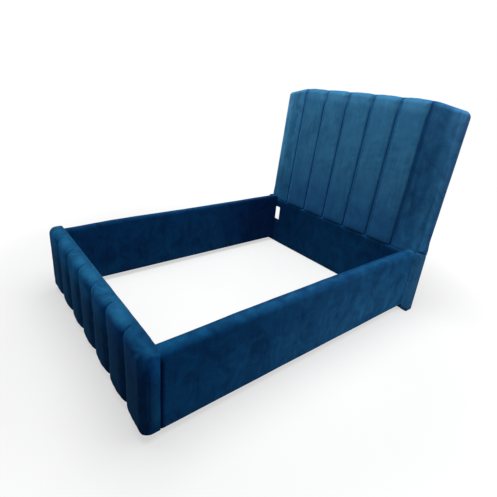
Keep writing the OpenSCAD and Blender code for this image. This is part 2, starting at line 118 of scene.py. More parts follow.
def arc(cx, cy, r, a, b, n):
    """Points on an arc from angle a to angle b, in degrees, both ends included."""
    turns = [math.radians(t) for t in steps(a, b, n)]
    return [(cx + r * math.cos(t), cy + r * math.sin(t)) for t in turns]


def steps(a, b, n):
    """n + 1 even values from a to b."""
    return [a + (b - a) * i / n for i in range(n + 1)]


def swell(t):
    """Swell across one channel: nothing at its grooves and full in the middle."""
    return max(0.0, 1 - abs(2 * t - 1) ** 2.6) ** 0.62


def edge_fall(d, r):
    """How far an edge falls away along an arc of radius r, at a distance d past the arc's start."""
    return r - math.sqrt(max(0.0, r * r - d * d)) if d > 0 else 0.0


def rounding(d, r):
    """How far a face falls back at a distance d from its edge."""
    return edge_fall(r - d, r)


def ease(t):
    """Smooth step from 0 to 1, held outside."""
    t = min(1.0, max(0.0, t))
    return t * t * (3 - 2 * t)


def metres(p):
    return Vector((p[0] / 1000, (p[1] - Y_MID) / 1000, p[2] / 1000))


def lean(x, t, h):
    """A point of the leaning upper headboard: across, depth and height above the break."""
    return (x, HL + t * math.cos(LEAN) + h * math.sin(LEAN),
            HEAD_BREAK - t * math.sin(LEAN) + h * math.cos(LEAN))


# Mesh building

def new_object(name, verts, faces, mirror=False):
    """A closed mesh object from points in millimetres and faces."""
    mesh = bpy.data.meshes.new(name)
    pts = [metres((-p[0], p[1], p[2]) if mirror else p) for p in verts]
    mesh.from_pydata(pts, [], faces)
    mesh.validate()
    bm = bmesh.new()
    bm.from_mesh(mesh)
    bmesh.ops.recalc_face_normals(bm, faces=bm.faces)
    bm.to_mesh(mesh)
    bm.free()
    obj = bpy.data.objects.new(name, mesh)
    bpy.context.scene.collection.objects.link(obj)
    for poly in mesh.polygons:
        poly.use_smooth = True
    return obj


SIDE_PARTS = (0.05, 0.3, 0.7, 0.95)


def rung(p, q, parts):
    """Points between p and q at the given fractions."""
    return [tuple(a + (b - a) * t for a, b in zip(p, q)) for t in parts]


def loft(name, columns, parts, mirror=False):
    """A closed skin over columns. Each column is a pair of equal rows of points, front and back.

    parts are the fractions at which the thickness is divided."""
    count = len(columns[0][0])
    loops = [list(f) + rung(f[-1], b[-1], parts) + list(reversed(b)) + rung(b[0], f[0], parts)
             for f, b in columns]
    n = len(loops[0])
    extra = len(parts)
    verts = [p for loop in loops for p in loop]
    faces = []
    for k in range(len(loops) - 1):
        for j in range(n):
            a = k * n + j
            b = k * n + (j + 1) % n
            faces.append((a, b, b + n, a + n))
    for k in (0, len(loops) - 1):
        front, back = columns[k]
        base = k * n
        grid = []
        for i in range(count):
            left = base + i
            right = base + count + extra + (count - 1 - i)
            if i == 0:
                mid = [base + n - 1 - m for m in range(extra)]
            elif i == count - 1:
                mid = [base + count + m for m in range(extra)]
            else:
                mid = list(range(len(verts), len(verts) + extra))
                verts.extend(rung(front[i], back[i], parts))
            grid.append([left] + mid + [right])
        for r, q in zip(grid, grid[1:]):
            for m in range(extra + 1):
                faces.append((r[m], r[m + 1], q[m + 1], q[m]))
    obj = new_object(name, verts, faces, mirror)
    obj["grid"] = (n, count, len(columns))
    return obj


def smooth(obj):
    """Applies one subdivision."""
    mod = obj.modifiers.new("round", "SUBSURF")
    mod.levels = mod.render_levels = 1
    deps = bpy.context.evaluated_depsgraph_get()
    mesh = bpy.data.meshes.new_from_object(obj.evaluated_get(deps))
    obj.modifiers.clear()
    old = obj.data
    obj.data = mesh
    bpy.data.meshes.remove(old)
    for poly in mesh.polygons:
        poly.use_smooth = True


CLOTH_PRESSURE = 4.0
CLOTH_GROW = 0.008
CLOTH_TRAVEL = 0.003
CLOTH_FRAMES = 20
HELD_ROWS = 3


def held_points(obj):
    """Indices of a lofted piece's points that stay put: the back, the sides and the lower curl."""
    n, count, columns = obj["grid"]
    held = [k * n + j for k in range(columns) for j in range(n)
            if k in (0, columns - 1) or j >= count or j < HELD_ROWS]
    return held + list(range(columns * n, len(obj.data.vertices)))


def inflate(obj):
    """Swells a padded piece as cloth with its seams held, and caps each point's travel."""
    rest = [v.co.copy() for v in obj.data.vertices]
    group = obj.vertex_groups.new(name="held")
    group.add(held_points(obj), 1.0, "REPLACE")
    mod = obj.modifiers.new("cloth", "CLOTH")
    cloth = mod.settings
    cloth.vertex_group_mass = "held"
    cloth.use_pressure = True
    cloth.uniform_pressure_force = CLOTH_PRESSURE
    cloth.shrink_min = -CLOTH_GROW
    cloth.effector_weights.gravity = 0.0
    cloth.quality = 4
    mod.point_cache.frame_start = 1
    mod.point_cache.frame_end = CLOTH_FRAMES
    mod.collision_settings.use_collision = False
    scene = bpy.context.scene
    for f in range(1, CLOTH_FRAMES + 1):
        scene.frame_set(f)
    done = obj.evaluated_get(bpy.context.evaluated_depsgraph_get())
    moved = [v.co.copy() for v in done.to_mesh().vertices]
    done.to_mesh_clear()
    obj.modifiers.remove(mod)
    obj.vertex_groups.remove(group)
    for v, a, b in zip(obj.data.vertices, rest, moved):
        step = b - a
        if step.length > CLOTH_TRAVEL:
            step = step * (CLOTH_TRAVEL / step.length)
        v.co = a + step
    scene.frame_set(1)


def calm(first, last, width=18.0):
    """Weight that brings a ripple to rest at the sides of a piece, across from first to last."""
    def weight(p):
        d = min(p.x * 1000 - first, last - p.x * 1000)
        return ease(d / width)
    return weight


def ripple(obj, height, size, seed, weight=None):
    """Moves points along their normals by a few tenths to millimetres of smooth noise."""
    mesh = obj.data
    normals = [v.normal.copy() for v in mesh.vertices]
    shift = Vector((seed * 3.1, seed * 7.7, seed * 1.3))
    for v, nrm in zip(mesh.vertices, normals):
        p = Vector((v.co.x / size[0], v.co.y / size[1], v.co.z / size[2])) + shift
        w = 1.0 if weight is None else weight(v.co)
        v.co += nrm * (height / 1000 * w * noise.noise(p))


# Finishing of pieces


def dress(obj, nodes, material):
    """Gives a piece its body, the nodes that it stands for and its material."""
    if "grid" in obj:
        del obj["grid"]
    obj.data.materials.clear()
    obj.data.materials.append(material)
    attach(obj, BODY)
    if nodes:
        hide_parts(*nodes)


def finish_pad(obj, node_name, material):
    dress(obj, [node_name], material)


def finish_sheet(obj, nodes, material):
    """Gives a stretched sheet its body, the nodes that it stands for and its material. Its mesh has a front
    and a back.
    """
    dress(obj, nodes, material)


# Nodes of materials. Where a value is asked for, a socket or a plain value will do

def rgba(value):
    """A colour with its alpha, from a colour or a grey. A socket stays as it is."""
    if isinstance(value, bpy.types.NodeSocket):
        return value
    return (*value, 1) if isinstance(value, (tuple, list)) else (value, value, value, 1)


def set_inputs(tree, target, inputs):
    for key, value in inputs.items():
        if isinstance(value, bpy.types.NodeSocket):
            tree.links.new(value, target.inputs[key])
        else:
            target.inputs[key].default_value = value


def node(tree, kind, inputs, **settings):
    made = tree.nodes.new("ShaderNode" + kind)
    for key, value in settings.items():
        setattr(made, key, value)
    set_inputs(tree, made, inputs)
    return made


def node_material(name):
    mat = bpy.data.materials.new(name)
    mat.use_nodes = True
    tree = mat.node_tree
    return mat, tree, tree.nodes["Principled BSDF"], node(tree, "TexCoord", {}).outputs["Object"]


def mapped(tree, source, scale, rotation=(0, 0, 0)):
    inputs = {"Vector": source, "Scale": scale, "Rotation": rotation}
    return node(tree, "Mapping", inputs).outputs["Vector"]


def noise_of(tree, vector, scale, detail=2.0, rough=0.5, twist=0.0):
    inputs = {"Vector": vector, "Scale": scale, "Detail": detail, "Roughness": rough, "Distortion": twist}
    return node(tree, "TexNoise", inputs).outputs["Fac"]


def ramp(tree, source, stops):
    """Colours or greys along a value."""
    made = node(tree, "ValToRGB", {"Fac": source})
    band = made.color_ramp.elements
    for k, (place, tone) in ((0, stops[0]), (1, stops[-1])):
        band[k].position = place
        band[k].color = rgba(tone)
    for place, tone in stops[1:-1]:
        band.new(place).color = rgba(tone)
    return made.outputs["Color"]


def mixed(tree, a, b, fac, mode="MIX"):
    inputs = {0: fac, 6: rgba(a), 7: rgba(b)}
    return node(tree, "Mix", inputs, data_type="RGBA", blend_type=mode).outputs[2]


def product(tree, first, *others):
    """Colours multiplied with each other."""
    for other in others:
        first = mixed(tree, first, other, 1.0, "MULTIPLY")
    return first


def maths(tree, op, a, b=0.0):
    return node(tree, "Math", {0: a, 1: b}, operation=op).outputs[0]


def bumped(tree, shader, height, strength, distance, base=None):
    inputs = {"Height": height, "Strength": strength, "Distance": distance}
    if base is not None:
        inputs["Normal"] = base
    normal = node(tree, "Bump", inputs).outputs["Normal"]
    tree.links.new(normal, shader.inputs["Normal"])
    return normal


def span(tree, value, low, high, at_low=0.0, at_high=1.0):
    """A smooth change from at_low to at_high as the value goes from low to high."""
    inputs = {"Value": value, "From Min": low, "From Max": high, "To Min": at_low, "To Max": at_high}
    return node(tree, "MapRange", inputs, interpolation_type="SMOOTHSTEP").outputs["Result"]


def between(tree, value, low, high, first, last):
    """A smooth change of colour as the value goes from low to high."""
    return mixed(tree, first, last, span(tree, value, low, high))


# Velvet

def axes_of(tree, obj):
    """Sockets by name: X and Z, the distance across and along from the middle, and the facing."""
    place = node(tree, "SeparateXYZ", {0: obj}).outputs
    normal = node(tree, "TexCoord", {}).outputs["Normal"]
    facing = node(tree, "SeparateXYZ", {0: normal}).outputs
    return {"X": place["X"], "Z": place["Z"], "across": maths(tree, "ABSOLUTE", place["X"]),
            "along": maths(tree, "ADD", place["Y"], Y_MID / 1000),
            "out": facing["X"], "back": facing["Y"], "up": facing["Z"]}


def shades(tree, axes, rows):
    """A table's painted light and shade: colour factors by place or facing. A row has its axis, where its
    change begins and ends, and its two tones.
    """
    return [between(tree, axes[key], *row) for key, *row in rows]


def painted_groove_shade(tree, x, pitch, edge, after, before):
    """Painted shade of the sewn grooves: 0 in the grooves, which lie a pitch apart from minus edge to edge,
    and 1 away from them.

    The painted shade reaches further on one side of a groove than on the other."""
    along = maths(tree, "ADD", x, (edge + 4 * pitch) / 1000)
    past = maths(tree, "MODULO", along, pitch / 1000)
    left = maths(tree, "SUBTRACT", pitch / 1000, past)
    line = maths(tree, "MINIMUM", span(tree, past, after / 3500, after / 1000),
                 span(tree, left, 0.001, before / 1000))
    outside = span(tree, maths(tree, "ABSOLUTE", x), edge / 1000, edge / 1000 + 0.002)
    return maths(tree, "MAXIMUM", line, outside)


def velvet_material(name, tone, cloud, streak, sheen, painted_light_of):
    """Short velvet pile: clouded nap, upright brush streaks, sheen and a fine pile bump.

    The last argument gives the piece's painted light and shade: the base colour is made lighter or darker by
    place and facing, to stand in for how light falls on it."""
    mat, tree, shader, obj = node_material(name)
    dark, light = [[c * (1 + side * cloud) ** k for c, k in zip(tone, (1.5, 1.15, 0.9))] for side in (-1, 1)]
    clouds = noise_of(tree, mapped(tree, obj, (1, 1, 0.8)), 9.0, 5, 0.66, 0.9)
    colour = ramp(tree, clouds, [(0.32, dark), (0.5, tone), (0.70, light)])
    brush = noise_of(tree, mapped(tree, obj, (52, 52, 5)), 1.0, 3, 0.6, 0.3)
    where = noise_of(tree, mapped(tree, obj, (3, 3, 2)), 1.0, 2, 0.5, 0.4)
    marks = ramp(tree, brush, [(0.36, 0.66), (0.5, 1.0), (0.66, 1.24)])
    amount = maths(tree, "MULTIPLY", ramp(tree, where, [(0.38, 0.15), (0.62, 1.0)]), streak)
    streaked = mixed(tree, colour, marks, amount, "MULTIPLY")
    fine = noise_of(tree, obj, 700, 2, 0.7)
    pile = mixed(tree, streaked, ramp(tree, fine, [(0.3, 0.84), (0.7, 1.16)]), 0.7, "MULTIPLY")
    set_inputs(tree, shader, {"Base Color": product(tree, pile, *painted_light_of(tree, obj)), "Roughness": 0.9,
                              "Specular IOR Level": 0.03, "Sheen Weight": sheen, "Sheen Roughness": 0.36,
                              "Sheen Tint": (0.09, 0.42, 0.86, 1)})
    soft = noise_of(tree, mapped(tree, obj, (1, 1, 0.6)), 26, 3, 0.55)
    first = bumped(tree, shader, soft, 0.10, 0.004)
    bumped(tree, shader, fine, 0.35, 0.0008, first)
    return mat


def painted_crease_light(tree, obj, axes):
    """Painted shade and highlight of faint slanting creases pulled across two of the channels; the creases
    are in the colour only.
    """
    inputs = {"Vector": mapped(tree, obj, (0.5, 1, 1), (0, 0.5, 0)), "Scale": 5.5, "Distortion": 9.0,
              "Detail": 3.0, "Detail Scale": 1.2}
    wave = node(tree, "TexWave", inputs, bands_direction="Z").outputs["Fac"]
    up = maths(tree, "ABSOLUTE", maths(tree, "SUBTRACT", axes["Z"], 1.12))
    side = maths(tree, "ABSOLUTE", maths(tree, "SUBTRACT", axes["X"], 0.36))
    where = maths(tree, "MULTIPLY", span(tree, up, 0.08, 0.26, 1.0, 0.0),
                  span(tree, side, 0.12, 0.30, 1.0, 0.0))
    return mixed(tree, WHITE, ramp(tree, wave, [(0.0, 0.93), (0.4, 1.0), (1.0, 1.03)]), where)


WHITE = (1.0, 1.0, 1.0)
# Tone of the painted shade in the sewn grooves.
PAINTED_GROOVE_TONE = (0.20, 0.39, 0.56)
WING_IN = WING_X0 / 1000
# Painted light and shade of the headboard channels by height and facing: painted shade low down, painted
# light higher up and over the top roll, and upward faces painted darker.
CHANNEL_PAINTED_LIGHT = (
    ("Z", 0.455, 0.53, (0.62, 0.74, 0.83), WHITE),
    ("Z", 0.50, 0.90, (0.66, 0.84, 0.95), WHITE),
    ("Z", 0.55, 1.15, (0.95, 0.99, 1.06), (1.2, 1.2, 1.16)),
    ("Z", 1.415, 1.475, WHITE, (1.55, 1.36, 1.29)),
    ("up", 0.15, 0.95, WHITE, (0.66, 0.86, 0.92)))
# Painted light and shade of the wings: a painted highlight along the rounded outer edge, painted shade at the
# very rim, lighter low down and over the top, and upward faces lighter.
WING_PAINTED_LIGHT = (
    ("across", WING_IN + 0.200, WING_IN + 0.222, WHITE, (1.75, 1.42, 1.38)),
    ("across", WING_IN + 0.232, WING_IN + 0.249, WHITE, (0.80, 0.72, 0.80)),
    ("Z", 0.50, 0.66, (1.25, 1.32, 1.32), WHITE),
    ("Z", 0.62, 0.98, (1.12, 1.25, 1.27), (0.92, 0.98, 1.0)),
    ("Z", 1.20, 1.45, WHITE, (1.60, 1.27, 1.2)),
    ("up", 0.15, 0.9, WHITE, (1.3, 1.35, 1.35)))
# Painted tones of the wings, a row each: how much lighter the left wing is painted; painted light on a wing's
# outer part; painted shade beside the inner groove near the top.
WING_PAINTED_TONES = (
    ("Z", 0.56, 0.93, (1.25, 1.1, 1.02), (2.7, 2.15, 1.8)),
    ("Z", 0.55, 1.0, (1.45, 1.3, 1.22), (1.9, 1.6, 1.45)),
    ("across", WING_IN + 0.02, WING_IN + 0.07, (0.70, 0.80, 0.86), WHITE))
# Painted light and shade of the plain panels: darker to the left, slightly darker higher up, a painted
# highlight along the top edge, and lighter near the floor.
PANEL_PAINTED_SHADE = (
    ("X", -0.75, 0.1, (0.42, 0.82, 0.92), (0.95, 1.27, 1.2)),
    ("Z", 0.30, 0.42, (1.06, 1.06, 1.04), (0.88, 0.90, 0.93)),
    ("Z", 0.42, 0.456, WHITE, (5.0, 2.3, 1.85)),
    ("Z", 0.07, 0.20, (1.5, 1.22, 1.1), WHITE))
# Painted light on a leg cover's front: lighter beside the rail's end, against the shade of the corner there,
# and a slight change of tone further out.
LEG_FRONT_PAINTED_LIGHT = (
    ("across", 0.788, 0.799, (1.7, 1.6, 1.5), (1.03, 1.03, 1.05)),
    ("across", 0.810, 0.830, WHITE, (1.12, 0.93, 0.92)))
# Painted shade on a leg cover: its top darker, and its foot painted dark as shade under the rail's bottom.
LEG_PAINTED_SHADE = (
    ("up", 0.2, 0.9, WHITE, (0.70, 0.76, 0.78)),
    ("Z", 0.008, 0.045, (0.22, 0.22, 0.30), WHITE))
# Painted light and shade of the rails, a row each: the outer face, lighter towards the head; the inner face,
# painted dark as shade in the bed's well; the outer face by height; the inner face by height; the rolled top
# along its length; a painted highlight on the top's inner edge; painted shade in the crevice at the
# footboard; painted light at the head end, against the shade of the leg's corner.
RAIL_PAINTED_LIGHT = (
    ("along", -0.920, 0.380, (0.43, 0.88, 1.02), (2.2, 1.63, 1.52)),
    ("along", 0.230, 0.780, (0.18, 0.46, 0.57), (0.035, 0.18, 0.36)),
    ("Z", 0.12, 0.42, (1.3, 1.16, 1.1), (0.72, 0.84, 0.87)),
    ("Z", 0.10, 0.19, (1.5, 1.25, 1.12), WHITE),
    ("along", -0.870, 0.230, (1.7, 1.3, 1.05), (0.72, 0.82, 0.80)),
    ("across", 0.722, 0.770, (1.3, 1.22, 1.15), (0.85, 0.80, 0.82)),
    ("along", (8 - HL) / 1000, (34 - HL) / 1000, (0.30, 0.38, 0.62), WHITE),
    ("along", (HL - 60) / 1000, (HL - 4) / 1000, WHITE, (2.2, 1.85, 1.6)))
# Painted light and shade of the footboard, a row each: its faces, darker towards the near end; their upper
# part, lighter; the end face, lighter towards the rail; the end, lighter higher up; the top, lighter to the
# left; the top, darker at its inner edge.
FOOT_PAINTED_LIGHT = (
    ("X", -0.6, 0.7, (0.72, 0.86, 0.93), (0.27, 0.43, 0.56)),
    ("X", 0.2, 0.55, (1.45, 2.4, 2.35), (0.75, 1.5, 1.75)),
    ("along", -1.064, -1.030, (1.05, 0.88, 1.0), (1.75, 1.6, 1.5)),
    ("Z", 0.24, 0.42, WHITE, (0.95, 1.40, 1.55)),
    ("X", 0.42, 0.68, (1.8, 1.5, 1.28), (0.74, 0.90, 0.88)),
    ("along", -1.052, -1.026, WHITE, (0.85, 0.78, 0.78)))
# Painted light and shade across one footboard channel, from one groove to the next: lighter just past a
# groove, darker beyond it.
FOOT_PAINTED_ACROSS = ((0.0, 1.0), (0.08, 1.5), (0.16, 1.32), (0.24, 0.86), (0.36, 0.82), (0.55, 0.96),
               (0.70, 1.10), (0.82, 1.0), (1.0, 1.0))


# Painted light and shade of the headboard channels: painted shade in the grooves, drifting a little at the
# top roll, the table's rows and the painted creases.
def channel_light_paint(tree, obj):
    axes = axes_of(tree, obj)
    drift = maths(tree, "SUBTRACT", axes["X"], span(tree, axes["Z"], 1.38, 1.50, 0.0, 0.010))
    groove_paint = painted_groove_shade(tree, drift, PITCH, WING_X0, 42, 14)
    return [mixed(tree, PAINTED_GROOVE_TONE, WHITE, groove_paint), *shades(tree, axes, CHANNEL_PAINTED_LIGHT),
            painted_crease_light(tree, obj, axes)]


def wing_light_paint(tree, obj):
    """Painted light and shade of both wings. The left one is painted lighter, as if it lay in a better light.
    """
    axes = axes_of(tree, obj)
    left, ridge, inner = shades(tree, axes, WING_PAINTED_TONES)
    mirrored = maths(tree, "MULTIPLY", axes["X"], -1.0)
    groove = maths(tree, "MAXIMUM", span(tree, axes["X"], WING_IN + 0.008, WING_IN + 0.038),
                   span(tree, mirrored, WING_IN + 0.001, WING_IN + 0.020))
    high = maths(tree, "MULTIPLY", span(tree, axes["Z"], 1.25, 1.42), span(tree, axes["X"], -0.1, 0.1))
    # Painted groove shade, the outer part painted lighter, painted shade by the groove at the top, the
    # table's rows, and the left wing painted lighter.
    return [mixed(tree, PAINTED_GROOVE_TONE, (0.85, 0.88, 0.90), groove),
            between(tree, axes["across"], WING_IN + 0.13, WING_IN + 0.18, WHITE, ridge),
            mixed(tree, WHITE, inner, high), *shades(tree, axes, WING_PAINTED_LIGHT),
            between(tree, axes["X"], -0.1, 0.1, left, WHITE)]


# Painted light and shade of the plain panels.
def panel_shade_paint(tree, obj):
    return shades(tree, axes_of(tree, obj), PANEL_PAINTED_SHADE)


def leg_light_paint(tree, obj):
    """Painted light and shade of a leg cover: its front is painted lighter, to the tone of the rail that ends
    on it, and its foot is painted dark as shade.
    """
    axes = axes_of(tree, obj)
    low = between(tree, axes["Z"], 0.14, 0.30, (3.3, 2.8, 2.55), (2.4, 2.05, 1.85))
    front = between(tree, axes["Z"], 0.30, 0.44, low, (1.2, 1.15, 1.12))
    front = product(tree, front, *shades(tree, axes, LEG_FRONT_PAINTED_LIGHT))
    return [between(tree, axes["back"], -0.9, -0.3, front, (1.35, 1.05, 1.03)),
            *shades(tree, axes, LEG_PAINTED_SHADE)]


def rail_light_paint(tree, obj):
    """Painted light and shade of both rails: outer faces, inner faces and the rolled tops."""
    axes = axes_of(tree, obj)
    outer, inner, low, deep, near, edge, strip, end = shades(tree, axes, RAIL_PAINTED_LIGHT)
    side = span(tree, axes["across"], (RAIL_X - 36) / 1000, (RAIL_X + 14) / 1000)
    # The far rail's rolled top is painted darker than the near one's.
    roll = between(tree, axes["X"], -0.1, 0.1, (0.75, 0.86, 0.82), product(tree, near, edge))
    strip = between(tree, axes["Z"], 0.41, 0.45, strip, WHITE)
    return [mixed(tree, inner, product(tree, outer, strip, end), side),
            mixed(tree, deep, low, side),
            between(tree, axes["up"], 0.15, 0.80, WHITE, roll)]


def foot_light_paint(tree, obj):
    """Painted light and shade of the footboard's channels: the faces, the top and the end that shows."""
    axes = axes_of(tree, obj)
    sides, high, end, lifted, top, inside = shades(tree, axes, FOOT_PAINTED_LIGHT)
    up = span(tree, axes["up"], 0.1, 0.92)
    groove_paint = maths(tree, "MAXIMUM", painted_groove_shade(tree, axes["X"], FOOT_PITCH, FOOT_HALF, 16, 12),
                 span(tree, up, 0.1, 0.7))
    past = maths(tree, "MODULO", maths(tree, "ADD", axes["X"], FOOT_HALF / 1000), FOOT_PITCH / 1000)
    across = ramp(tree, maths(tree, "DIVIDE", past, FOOT_PITCH / 1000), FOOT_PAINTED_ACROSS)
    face = product(tree, sides, between(tree, axes["Z"], 0.28, 0.43, WHITE, high), across)
    corner = maths(tree, "MULTIPLY", span(tree, axes["out"], 0.35, 0.85), span(tree, axes["Z"], 0.39, 0.45))
    turn = maths(tree, "MAXIMUM", corner, span(tree, axes["out"], 0.86, 0.99))
    # Painted shade in the grooves, then painted light that differs between faces, end and top.
    return [mixed(tree, (0.50, 0.66, 0.76), WHITE, groove_paint),
            mixed(tree, mixed(tree, face, product(tree, end, lifted), turn), product(tree, top, inside), up)]


# Other materials

def lining_material():
    """Dark woven lining: crossed threads with slight slubs."""
    mat, tree, shader, obj = node_material("back_lining")
    threads = [node(tree, "TexWave", {"Vector": mapped(tree, obj, scale), "Scale": 1.0,
                                      "Distortion": 0.6}).outputs["Fac"]
               for scale in ((620, 0, 0), (0, 620, 620))]
    weave = maths(tree, "MULTIPLY", *threads)
    cloud = noise_of(tree, obj, 9, 4, 0.6, 0.4)
    base = ramp(tree, cloud, [(0.3, (0.011, 0.011, 0.013)), (0.7, (0.026, 0.026, 0.030))])
    colour = mixed(tree, base, ramp(tree, weave, [(0.0, 0.7), (1.0, 1.5)]), 0.8, "MULTIPLY")
    set_inputs(tree, shader, {"Base Color": colour, "Roughness": 0.9, "Specular IOR Level": 0.2,
                              "Sheen Weight": 0.12})
    bumped(tree, shader, weave, 0.5, 0.0006)
    return mat


def timber_material(name, axis):
    """Sawn softwood with its grain along one axis."""
    mat, tree, shader, obj = node_material(name)
    scale = [34.0, 34.0, 34.0]
    scale[axis] = 1.6
    grain = noise_of(tree, mapped(tree, obj, scale), 1.0, 5, 0.62, 0.5)
    fibre = noise_of(tree, mapped(tree, obj, [s * 9 for s in scale]), 1.0, 3, 0.6)
    wood = [(0.3, (0.36, 0.215, 0.105)), (0.52, (0.53, 0.36, 0.20)), (0.75, (0.64, 0.47, 0.29))]
    lines = ramp(tree, fibre, [(0.35, 0.78), (0.6, 1.05)])
    set_inputs(tree, shader, {"Base Color": mixed(tree, ramp(tree, grain, wood), lines, 0.6, "MULTIPLY"),
                              "Roughness": ramp(tree, grain, [(0.3, 0.62), (0.7, 0.78)])})
    bumped(tree, shader, fibre, 0.3, 0.0008)
    return mat


def steel_material():
    """Bright zinc with a faint spangle and drawn lines."""
    mat, tree, shader, obj = node_material("steel")
    spangle = noise_of(tree, obj, 140, 3, 0.5)
    lines = noise_of(tree, mapped(tree, obj, (900, 900, 40)), 1.0, 2, 0.5)
    set_inputs(tree, shader, {"Base Color": ramp(tree, spangle, [(0.3, 0.46), (0.7, 0.66)]), "Metallic": 1.0,
                              "Roughness": ramp(tree, lines, [(0.3, 0.28), (0.7, 0.46)])})
    bumped(tree, shader, lines, 0.1, 0.0002)
    return mat


def plastic_material():
    """Matt black moulded plastic with scuffed edges."""
    mat, tree, shader, obj = node_material("dark_plastic")
    scuff = noise_of(tree, obj, 60, 5, 0.65, 0.3)
    set_inputs(tree, shader, {"Base Color": ramp(tree, scuff, [(0.35, 0.012), (0.75, 0.035)]),
                              "Roughness": ramp(tree, scuff, [(0.3, 0.42), (0.8, 0.62)])})
    bumped(tree, shader, noise_of(tree, obj, 1500, 2, 0.6), 0.15, 0.0003)
    return mat


# Headboard padding

def head_section(x, front, back, top, core_top, bottom=0.5, solid=False, curl=CURL_R):
    """Front and back rows of one upright slice of the upper padding."""
    rf = min(HEAD_ROLL_R, (HEAD_T - front) * 0.55)
    rb = min(14.0, (HEAD_T - front) * 0.3)
    rl = min(curl, back - front - 1)
    low = arc(front + rl, bottom + rl, rl, 270, 180, 6)
    high = arc(front + rf, top - rf, rf, 180, 90, 8)
    rise = [(front, h) for h in steps(bottom + rl, top - rf, HEAD_ROWS)][1:-1]
    mid_t = (front + rf + HEAD_T - rb) / 2
    fore = low + rise + high + [(mid_t, top)]
    over = arc(HEAD_T - rb, top - rb, rb, 90, 0, 5)
    down = [] if solid else [(HEAD_T, core_top + 3), (HEAD_T, core_top)]
    down += [(back, h) for h in steps(core_top, bottom, len(fore) - len(over) - 2 - len(down))]
    rear = list(reversed(over + down)) + [(mid_t + 1.0, top)]
    return [lean(x, t, h) for t, h in fore], [lean(x, t, h) for t, h in rear]


HEAD_ROWS = 96
HEAD_ROLL_R = 36.0
CHANNEL_COLUMNS = 24
TOP_SINK = 6.0
FLARE_TOP = 570.0
FLARE_RUN = 80.0

# Depth and width of the dips after and before a groove
DIP_AFTER = (11.0, 30.0)
DIP_BEFORE = (10.0, 17.0)


def crest(x):
    """Height of the top edge: level over the channels, sloping down the wings to a round corner."""
    slope = WING_DROP * max(0.0, (abs(x) - WING_X0) / (WING_OUT - WING_X0))
    corner = edge_fall(abs(x) - (WING_OUT - WING_CORNER_R), WING_CORNER_R)
    return UP_H - slope - corner + HEAD_CROWN * max(0.0, 1 - (x / WING_X0) ** 2)


def cosine_steps(a, b, n):
    """n + 1 values from a to b, closer together at both ends."""
    return [a + (b - a) * (1 - math.cos(math.pi * k / n)) / 2 for k in range(n + 1)]


def groove_dip(d, depth, width):
    """How far the padding falls away just beside a sewn groove, at a distance d from it."""
    return depth * max(0.0, 1 - d / width) ** 1.9


def head_channel(i, material):
    x0 = -WING_X0 + (i - 1) * PITCH + FIT
    x1 = x0 + PITCH - 2 * FIT
    columns = []
    for x in cosine_steps(x0, x1, CHANNEL_COLUMNS):
        s = swell((x - x0) / (x1 - x0))
        dip = max(groove_dip(x - x0, *DIP_AFTER), groove_dip(x1 - x, *DIP_BEFORE))
        columns.append(head_section(x, GROOVE_BACK + dip - HEAD_LOBE * s, HEAD_FOAM - FIT,
                                    crest(x) - TOP_SINK * (1 - s), UP_H - CORE_DROP + FIT))
    obj = loft("channel_%d" % i, columns, SIDE_PARTS)
    inflate(obj)
    smooth(obj)
    ripple(obj, 1.1, (0.10, 0.10, 0.26), i, calm(x0, x1))
    finish_pad(obj, "headboard_channel_%d" % i, material)


def wing_front(x):
    t = (x - WING_X0) / (WING_ARC_X - WING_X0)
    if t >= 1:
        return WING_BACK + edge_fall(x - WING_ARC_X, WING_R)
    return (GROOVE_BACK + (WING_BACK - GROOVE_BACK) * t
            - (HEAD_LOBE - 4) * swell(min(1, t * 0.5 + 0.0001)) * (1 - t ** 3))


def shoulder_height(x):
    """Height of a leg cover's top, which falls away round its outer shoulder."""
    return LEG_TOP - edge_fall(x - LEG_OUT + LEG_SHOULDER_R, LEG_SHOULDER_R)


def wing(mirror, material):
    side = "left" if mirror else "right"
    edge = LEG_X0 + FIT
    inner = [WING_X0 + FIT + (WING_ARC_X - WING_X0 - FIT) * (1 - math.cos(math.radians(90 * k / 18)))
             for k in range(19)] + [LEG_X0]
    columns = []
    for x in inner:
        rise = swell(min(0.5, 0.02 + (x - WING_X0) / 120))
        dip = groove_dip(x - WING_X0, *DIP_AFTER)
        columns.append(head_section(x, wing_front(x) + dip, HEAD_FOAM - FIT, crest(x) - TOP_SINK * (1 - rise),
                                    crest(x) - CORE_DROP + FIT))
    for k in range(13):
        x = edge + (WING_OUT - edge) * math.sin(math.radians(90 * k / 12))
        bottom = OUTER_BOT - LEG_TOP + shoulder_height(x + WING_FLARE * ease((x - edge) / 30))
        columns.append(head_section(x, min(wing_front(x), HEAD_T - 8), HEAD_T, crest(x),
                                    crest(x) - CORE_DROP + FIT, bottom, True, 7.0))
    obj = loft("%s_wing" % side, columns, SIDE_PARTS, mirror)
    inflate(obj)
    smooth(obj)
    for v in obj.data.vertices:
        x, z = abs(v.co.x) * 1000, v.co.z * 1000
        flare = WING_FLARE * ease((x - edge) / 30) * ease((FLARE_TOP - z) / FLARE_RUN)
        v.co.x += math.copysign(flare / 1000, v.co.x)
    ripple(obj, 1.2, (0.12, 0.12, 0.24), 8 if mirror else 9, lambda p: ease((abs(p.x) * 1000 - WING_X0) / 18))
    finish_pad(obj, "headboard_%s_wing" % side, material)


# Plates with soft edges and openings

